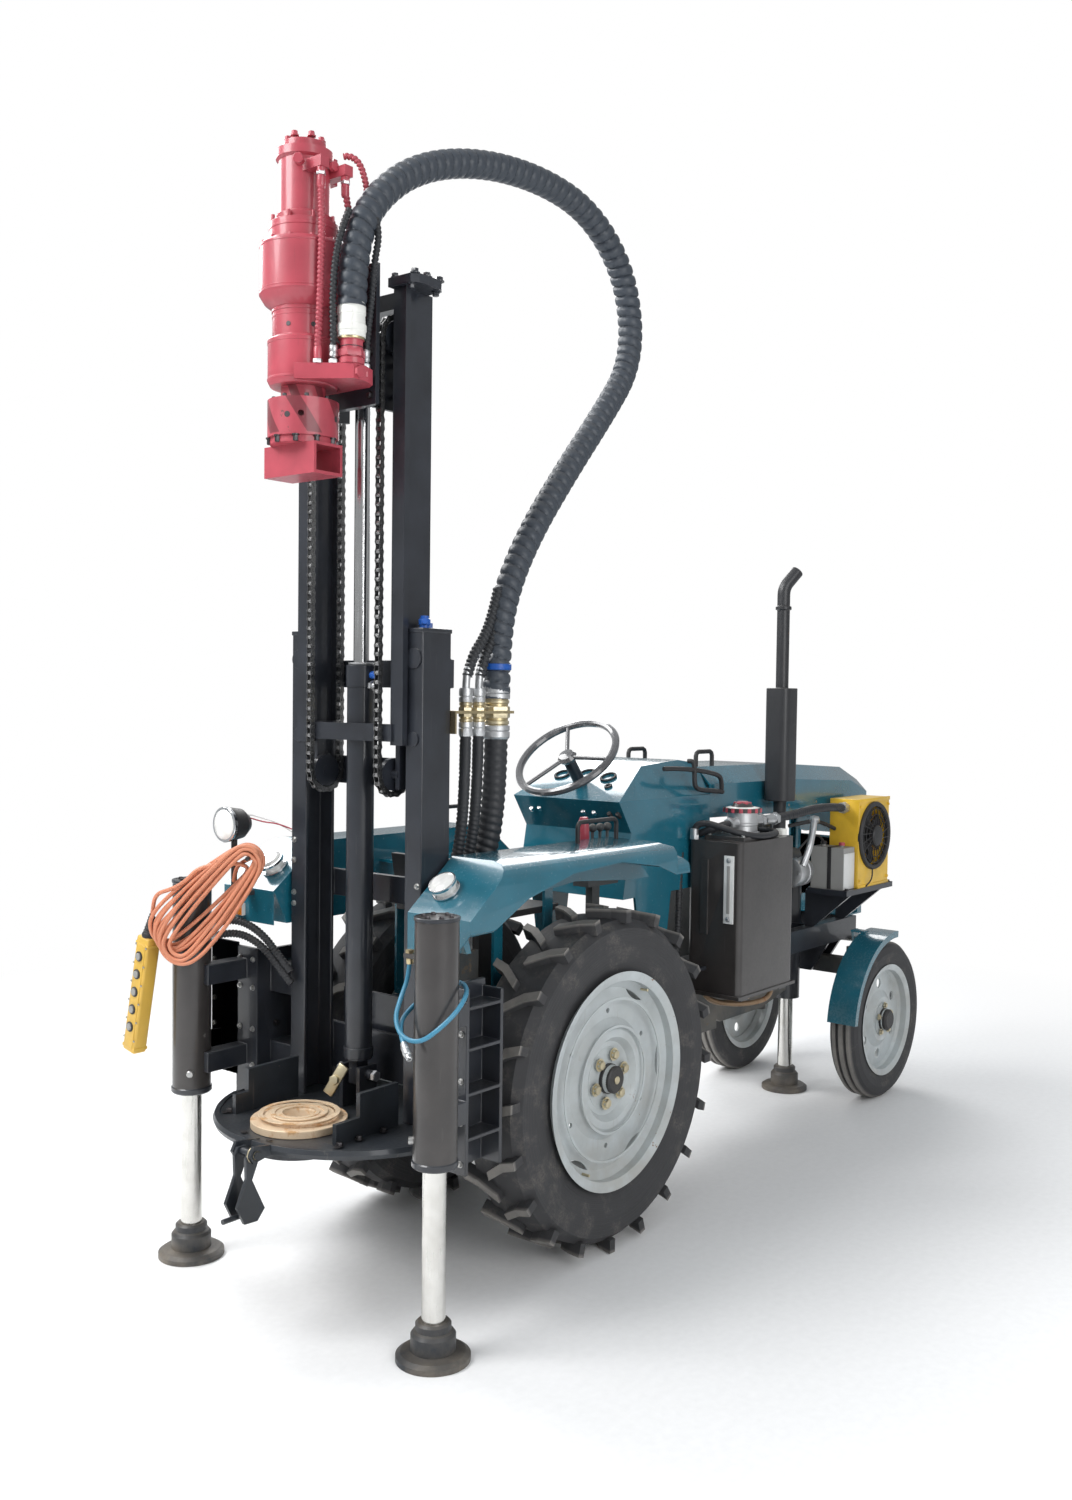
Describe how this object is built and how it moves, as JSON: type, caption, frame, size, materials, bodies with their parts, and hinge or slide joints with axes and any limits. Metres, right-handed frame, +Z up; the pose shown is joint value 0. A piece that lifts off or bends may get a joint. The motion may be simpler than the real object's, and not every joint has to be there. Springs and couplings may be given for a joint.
{
  "type": "tractor-mounted water well drilling rig",
  "caption": "Small two-axle tractor that carries a two-stage chain-lifted drilling mast with a turning power head, a round drill table and sliding stabiliser legs.",
  "frame": {"origin": "on the ground, under the middle of the whole length and width, without the hanging cables", "axes": "+X forward, along the tractor's length; +Y to the left; +Z up"},
  "size_m": [3.545, 1.2612, 3.2687],
  "materials": {
    "teal_paint": "glossy",
    "mast_paint": "satin",
    "red_paint": "satin",
    "grey_paint": "satin",
    "yellow_paint": "satin",
    "black_paint": "satin",
    "cast_metal": "rough",
    "rusty_metal": "rusty",
    "bright_rod": "polished",
    "steel": "plain",
    "chain_steel": "oily",
    "brass": "plain",
    "hose_rubber": "matte",
    "tyre_rubber": "matte",
    "black_plastic": "matte",
    "white_plastic": "glossy",
    "yellow_plastic": "glossy",
    "orange_cable": "matte",
    "blue_line": "glossy",
    "red_hose": "painted over"
  },
  "bodies": {
    "chassis": {"air_coupler": "steel", "air_hose": "hose_rubber", "air_line": "blue_line", "battery": "white_plastic", "cable_coil": "orange_cable", "dash_cowl": "teal_paint", "drill_bush": "rusty_metal", "drill_table": "mast_paint", "engine": "cast_metal", "exhaust": "black_paint", "frame_rails": "mast_paint", "front_axle": "cast_metal", "gearbox": "cast_metal", "grab_rails": "black_paint", "hose_bulkhead": "brass", "lamps": "white_plastic", "lift_cylinder": "mast_paint", "lower_hoses": "hose_rubber", "nose_panel": "teal_paint", "oil_cooler": "yellow_paint", "oil_tank": "mast_paint", "outer_mast": "mast_paint", "outrigger_carriers": "mast_paint", "outrigger_tubes": "mast_paint", "pendant": "yellow_plastic", "pendant_cable": "hose_rubber", "rear_fenders": "teal_paint", "seat": "black_plastic", "steering_column": "black_paint", "valve_bank": "cast_metal", "work_lamp": "black_paint"},
    "rear_wheel_left": {"rear_wheel_left": "grey_paint", "rear_tyre_left": "tyre_rubber"},
    "rear_wheel_right": {"rear_wheel_right": "grey_paint", "rear_tyre_right": "tyre_rubber"},
    "knuckle_left": {"knuckle_left": "cast_metal", "front_fender_left": "teal_paint"},
    "knuckle_right": {"knuckle_right": "cast_metal", "front_fender_right": "teal_paint"},
    "front_wheel_left": {"front_wheel_left": "grey_paint", "front_tyre_left": "tyre_rubber"},
    "front_wheel_right": {"front_wheel_right": "grey_paint", "front_tyre_right": "tyre_rubber"},
    "tie_rod": {"tie_rod": "steel"},
    "steering_wheel": {"steering_wheel": "black_plastic"},
    "leg_left": {"outrigger_leg_left": "bright_rod"},
    "leg_right": {"outrigger_leg_right": "bright_rod"},
    "leg_front": {"front_leg": "bright_rod"},
    "inner_mast": {"inner_mast": "mast_paint", "lift_rod": "bright_rod", "chains": "chain_steel"},
    "carriage": {"carriage": "mast_paint", "head_body": "red_paint", "head_motor": "red_paint", "air_swivel": "red_paint", "head_hoses": "red_hose"},
    "spindle": {"spindle": "red_paint"},
    "rim_bracket": {"rim_bracket": "steel"},
    "cooler_fan": {"cooler_fan": "black_plastic"},
    "bonnet": {"bonnet": "teal_paint"}
  },
  "joints": [
    {"name": "rear_wheel_left_spin", "type": "hinge", "parent": "chassis", "child": "rear_wheel_left", "pos_m": [-0.6075, 0.355, 0.52], "axis": [0, 1, 0], "continuous": true},
    {"name": "rear_wheel_right_spin", "type": "hinge", "parent": "chassis", "child": "rear_wheel_right", "pos_m": [-0.6075, -0.355, 0.52], "axis": [0, 1, 0], "continuous": true},
    {"name": "steer_right", "type": "hinge", "parent": "chassis", "child": "knuckle_right", "pos_m": [1.4425, -0.225, 0.45], "axis": [0, 0, 1], "range_deg": [-25, 25]},
    {"name": "steer_left", "type": "hinge", "parent": "chassis", "child": "knuckle_left", "pos_m": [1.4425, 0.225, 0.45], "axis": [0, 0, 1], "range_deg": [-25, 25]},
    {"name": "front_wheel_right_spin", "type": "hinge", "parent": "knuckle_right", "child": "front_wheel_right", "pos_m": [1.4425, -0.335, 0.33], "axis": [0, 1, 0], "continuous": true},
    {"name": "front_wheel_left_spin", "type": "hinge", "parent": "knuckle_left", "child": "front_wheel_left", "pos_m": [1.4425, 0.335, 0.33], "axis": [0, 1, 0], "continuous": true},
    {"name": "tie_rod_pivot", "type": "hinge", "parent": "knuckle_right", "child": "tie_rod", "pos_m": [1.5625, -0.225, 0.631], "axis": [0, 0, 1], "range_deg": [-25, 25]},
    {"name": "steering_wheel_turn", "type": "hinge", "parent": "chassis", "child": "steering_wheel", "pos_m": [-0.2975, 0, 1.476], "axis": [-0.6428, 0, 0.766], "range_deg": [-355, 355]},
    {"name": "leg_left_slide", "type": "slide", "parent": "chassis", "child": "leg_left", "axis": [0, 0, 1], "range_m": [-0.06, 0.38]},
    {"name": "leg_right_slide", "type": "slide", "parent": "chassis", "child": "leg_right", "axis": [0, 0, 1], "range_m": [-0.06, 0.38]},
    {"name": "leg_front_slide", "type": "slide", "parent": "chassis", "child": "leg_front", "axis": [0, 0, 1], "range_m": [-0.06, 0.18]},
    {"name": "mast_lift", "type": "slide", "parent": "chassis", "child": "inner_mast", "axis": [0, 0, 1], "range_m": [-0.75, 0]},
    {"name": "carriage_travel", "type": "slide", "parent": "chassis", "child": "carriage", "axis": [0, 0, 1], "range_m": [-1.5, 0], "deforming": ["air_hose"]},
    {"name": "spindle_turn", "type": "hinge", "parent": "carriage", "child": "spindle", "pos_m": [-1.4775, 0, 2.4], "axis": [0, 0, 1], "continuous": true},
    {"name": "rim_bracket_swing", "type": "hinge", "parent": "chassis", "child": "rim_bracket", "pos_m": [-1.6955, -0.045, 0.488], "axis": [0, 1, 0], "range_deg": [-5, 75]},
    {"name": "cooler_fan_spin", "type": "hinge", "parent": "chassis", "child": "cooler_fan", "pos_m": [1.3225, -0.326, 1.12], "axis": [0, 1, 0], "continuous": true},
    {"name": "bonnet_lid", "type": "hinge", "parent": "chassis", "child": "bonnet", "pos_m": [1.6505, 0, 1.2], "axis": [0, 1, 0], "range_deg": [0, 60]}
  ],
  "couplings": [
    {"joint": "steer_left", "follows": "steer_right", "ratio": 1},
    {"joint": "tie_rod_pivot", "follows": "steer_right", "ratio": -1},
    {"joint": "steering_wheel_turn", "follows": "steer_right", "ratio": 14},
    {"joint": "carriage_travel", "follows": "mast_lift", "ratio": 2}
  ]
}
